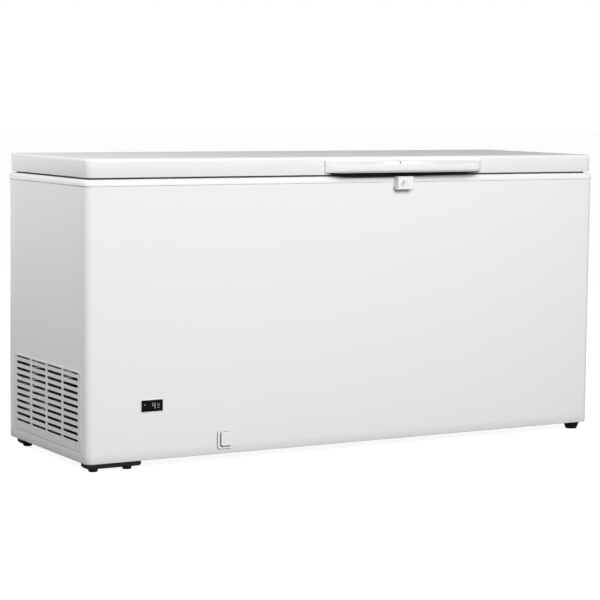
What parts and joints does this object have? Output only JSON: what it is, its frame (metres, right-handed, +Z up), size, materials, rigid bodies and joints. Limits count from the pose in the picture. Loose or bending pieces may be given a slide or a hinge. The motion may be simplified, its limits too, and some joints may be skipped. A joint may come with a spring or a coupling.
{
  "type": "chest freezer",
  "caption": "Long white chest freezer with a hinged lid, front handle and lock, a small temperature display, drain outlet and a louvred vent on its left end.",
  "frame": {"origin": "on the floor, under the middle of the whole outline", "axes": "+X along the width to the right seen from the front, -Y the front, +Z up"},
  "size_m": [1.7, 0.64, 0.85],
  "materials": {
    "white_coating": "satin",
    "white_plastic": "satin",
    "grille_plastic": "matte",
    "black_plastic": "matte",
    "galvanised_sheet": "satin",
    "stucco_aluminium": "satin",
    "insulation_foam": "matte",
    "copper_tube": "satin",
    "steel_tube": "satin",
    "black_enamel": "satin",
    "motor_iron": "matte",
    "zinc_steel": "satin",
    "spring_steel": "satin",
    "grey_rubber": "matte",
    "black_rubber": "matte",
    "smoked_window": "gloss",
    "lit_marks": "gloss",
    "circuit_board": "matte",
    "grey_plastic": "matte",
    "basket_wire": "gloss"
  },
  "bodies": {
    "cabinet": {"cabinet_shell": "white_coating", "rear_panel": "galvanised_sheet", "rear_vent_panel": "galvanised_sheet", "bottom_panel": "galvanised_sheet", "inner_liner": "stucco_aluminium", "machine_partition": "galvanised_sheet", "condenser_tube": "steel_tube", "evaporator_tube": "stucco_aluminium", "cabinet_foam": "insulation_foam", "rim_front": "white_plastic", "rim_rear": "white_plastic", "rim_left": "white_plastic", "rim_right": "white_plastic", "hinge_bodies": "zinc_steel", "hinge_pins": "zinc_steel", "hinge_springs": "spring_steel", "hinge_covers": "grey_plastic", "cabinet_screws": "zinc_steel", "rear_spacers": "black_plastic", "base_plate": "galvanised_sheet", "compressor_cradle": "black_enamel", "compressor_mounts": "black_rubber", "compressor_bolts": "zinc_steel", "compressor_can": "black_enamel", "compressor_motor": "motor_iron", "relay_box": "black_plastic", "filter_drier": "copper_tube", "discharge_tube": "copper_tube", "liquid_tube": "copper_tube", "capillary_tube": "copper_tube", "suction_tube": "copper_tube", "side_grille": "grille_plastic", "power_inlet_gland": "black_rubber", "display_bezel": "grey_plastic", "display_window": "smoked_window", "display_marks": "lit_marks", "display_board": "circuit_board", "controller_box": "grey_plastic", "wiring_loom": "black_rubber", "temperature_probe": "zinc_steel", "drain_outlet": "white_plastic", "drain_tube": "grey_plastic", "floor_drain_collar": "white_plastic", "left_skids": "black_plastic", "right_feet": "black_plastic", "lock_housing": "white_plastic"},
    "lid": {"lid_skin": "white_coating", "lid_inner_panel": "white_plastic", "lid_foam": "insulation_foam", "lid_gasket": "grey_rubber", "handle": "white_plastic", "lid_screws": "zinc_steel", "lock_keeper": "zinc_steel", "hinge_arms": "zinc_steel"},
    "lock_cylinder": {"lock_cylinder": "zinc_steel"},
    "lock_bolt": {"lock_bolt": "zinc_steel"},
    "spring_cups": {"spring_cups": "black_plastic"},
    "drain_cap": {"drain_cap": "white_plastic"},
    "floor_drain_plug": {"floor_drain_plug": "grey_rubber"},
    "basket": {"basket": "basket_wire"}
  },
  "joints": [
    {"name": "lid_hinge", "type": "hinge", "parent": "cabinet", "child": "lid", "pos_m": [0, 0.302, 0.786], "axis": [-1, 0, 0], "range_deg": [0, 80]},
    {"name": "spring_cup_rise", "type": "slide", "parent": "cabinet", "child": "spring_cups", "axis": [0, 0, 1], "range_m": [0, 0.0035]},
    {"name": "key_turn", "type": "hinge", "parent": "cabinet", "child": "lock_cylinder", "pos_m": [0.142, -0.298, 0.7746], "axis": [0, -1, 0], "range_deg": [0, 90]},
    {"name": "bolt_rise", "type": "slide", "parent": "cabinet", "child": "lock_bolt", "axis": [0, 0, 1], "range_m": [0, 0.014]},
    {"name": "drain_cap_pull", "type": "slide", "parent": "cabinet", "child": "drain_cap", "axis": [0, -1, 0], "range_m": [0, 0.03]},
    {"name": "floor_plug_lift", "type": "slide", "parent": "cabinet", "child": "floor_drain_plug", "axis": [0, 0, 1], "range_m": [0, 0.04]},
    {"name": "basket_slide", "type": "slide", "parent": "cabinet", "child": "basket", "axis": [1, 0, 0], "range_m": [0, 1.28]}
  ],
  "couplings": [
    {"joint": "spring_cup_rise", "follows": "lid_hinge", "m_per_rad": 0.0025042},
    {"joint": "key_turn", "follows": "bolt_rise", "rad_per_m": 112.09}
  ]
}
